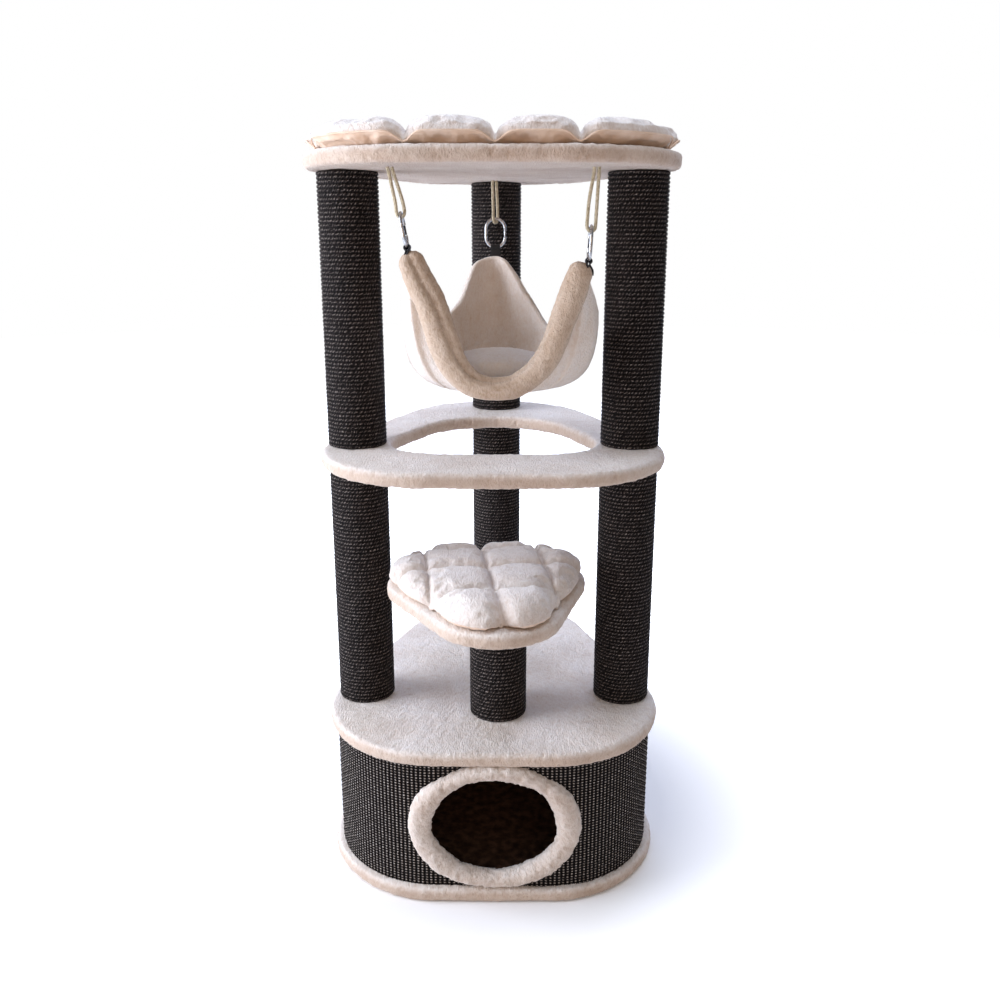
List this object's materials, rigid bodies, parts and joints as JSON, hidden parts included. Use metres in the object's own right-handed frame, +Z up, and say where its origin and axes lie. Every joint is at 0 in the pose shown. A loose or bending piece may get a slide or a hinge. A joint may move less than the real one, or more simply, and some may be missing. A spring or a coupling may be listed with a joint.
{
  "type": "cat tree",
  "caption": "Free-standing cat tree: oval cave box, sisal posts, ring platform, swivel seat, top platform with quilted cushion, and a hammock hung on cords.",
  "frame": {"origin": "on the floor, under the middle of the platforms' shared outline", "axes": "+Z up, -Y to the cave's mouth and the seat, +Y to the single rear post, +X to the right seen from the front"},
  "size_m": [0.5292, 0.6554, 1.135],
  "materials": {
    "plush": "short cream plush",
    "cushion_plush": "short cream plush over soft filling",
    "woven_sisal": "coarse woven carpet",
    "sisal_rope": "wound rope",
    "cardboard_tube": "raw",
    "hardboard": "raw",
    "chipboard": "raw",
    "twine": "twisted",
    "webbing": "woven",
    "slip_disc": "smooth",
    "dark_steel": "blackened",
    "zinc_steel": "zinc plated"
  },
  "bodies": {
    "tower": {"base_board": "chipboard", "base_cover": "plush", "cave_wall": "hardboard", "cave_carpet": "woven_sisal", "mouth_trim": "plush", "roof_board": "chipboard", "roof_cover": "plush", "roof_bolts": "zinc_steel", "roof_washers": "zinc_steel", "lower_tube_left": "cardboard_tube", "lower_tube_right": "cardboard_tube", "lower_tube_rear": "cardboard_tube", "lower_rope_left": "sisal_rope", "lower_rope_right": "sisal_rope", "lower_rope_rear": "sisal_rope", "lower_plugs": "chipboard", "upper_tube_left": "cardboard_tube", "upper_tube_right": "cardboard_tube", "upper_tube_rear": "cardboard_tube", "upper_rope_left": "sisal_rope", "upper_rope_right": "sisal_rope", "upper_rope_rear": "sisal_rope", "upper_plugs": "chipboard", "short_tube": "cardboard_tube", "short_rope": "sisal_rope", "short_plugs": "chipboard", "ring_studs": "zinc_steel", "ring_board": "chipboard", "ring_cover": "plush", "top_board": "chipboard", "top_cover": "plush", "top_bolts": "zinc_steel", "top_washers": "zinc_steel", "seat_disc": "slip_disc", "seat_bolt": "zinc_steel", "seat_washer": "zinc_steel", "cord_knots": "twine"},
    "seat": {"seat_board": "chipboard", "seat_cover": "plush", "seat_cushion": "cushion_plush"},
    "top_cushion": {"top_cushion": "cushion_plush"},
    "front_cords": {"cord_left": "twine", "cord_right": "twine"},
    "rear_cord": {"cord_rear": "twine"},
    "hammock": {"hammock_shell": "cushion_plush", "hammock_pad": "cushion_plush", "strap_left": "webbing", "strap_right": "webbing", "strap_rear": "webbing", "hook_left": "zinc_steel", "hook_right": "zinc_steel", "hook_rear": "zinc_steel"},
    "gate_left": {"gate_left": "dark_steel"},
    "gate_right": {"gate_right": "dark_steel"},
    "gate_rear": {"gate_rear": "dark_steel"}
  },
  "joints": [
    {"name": "seat_turn", "type": "hinge", "parent": "tower", "child": "seat", "pos_m": [0.008, -0.1565, 0.448], "axis": [0, 0, 1], "range_deg": [-72, 66]},
    {"name": "top_cushion_lift", "type": "slide", "parent": "tower", "child": "top_cushion", "axis": [0, 0, 1], "range_m": [0, 0.15]},
    {"name": "hammock_sway", "type": "hinge", "parent": "tower", "child": "front_cords", "pos_m": [0, -0.215, 1.075], "axis": [1, 0, 0], "range_deg": [-14, 14]},
    {"name": "hammock_level", "type": "hinge", "parent": "front_cords", "child": "hammock", "pos_m": [0, -0.215, 1.0127], "axis": [1, 0, 0], "range_deg": [-14, 14]},
    {"name": "rear_cord_sway", "type": "hinge", "parent": "tower", "child": "rear_cord", "pos_m": [0, 0.096, 1.075], "axis": [1, 0, 0], "range_deg": [-14, 14]},
    {"name": "gate_left_open", "type": "hinge", "parent": "hammock", "child": "gate_left", "pos_m": [-0.11638, -0.1993, 0.98887], "axis": [0.9848, 0, 0.1736], "range_deg": [0, 25], "stiffness_Nm_per_rad": 0.01},
    {"name": "gate_right_open", "type": "hinge", "parent": "hammock", "child": "gate_right", "pos_m": [0.13215, -0.1993, 0.97151], "axis": [0.9986, 0, -0.0523], "range_deg": [0, 25], "stiffness_Nm_per_rad": 0.01},
    {"name": "gate_rear_open", "type": "hinge", "parent": "hammock", "child": "gate_rear", "pos_m": [0.0163, 0.096, 0.9853], "axis": [0, -1, 0], "range_deg": [0, 25], "stiffness_Nm_per_rad": 0.01}
  ],
  "couplings": [
    {"joint": "hammock_level", "follows": "hammock_sway", "ratio": -1},
    {"joint": "rear_cord_sway", "follows": "hammock_sway", "ratio": 1}
  ]
}
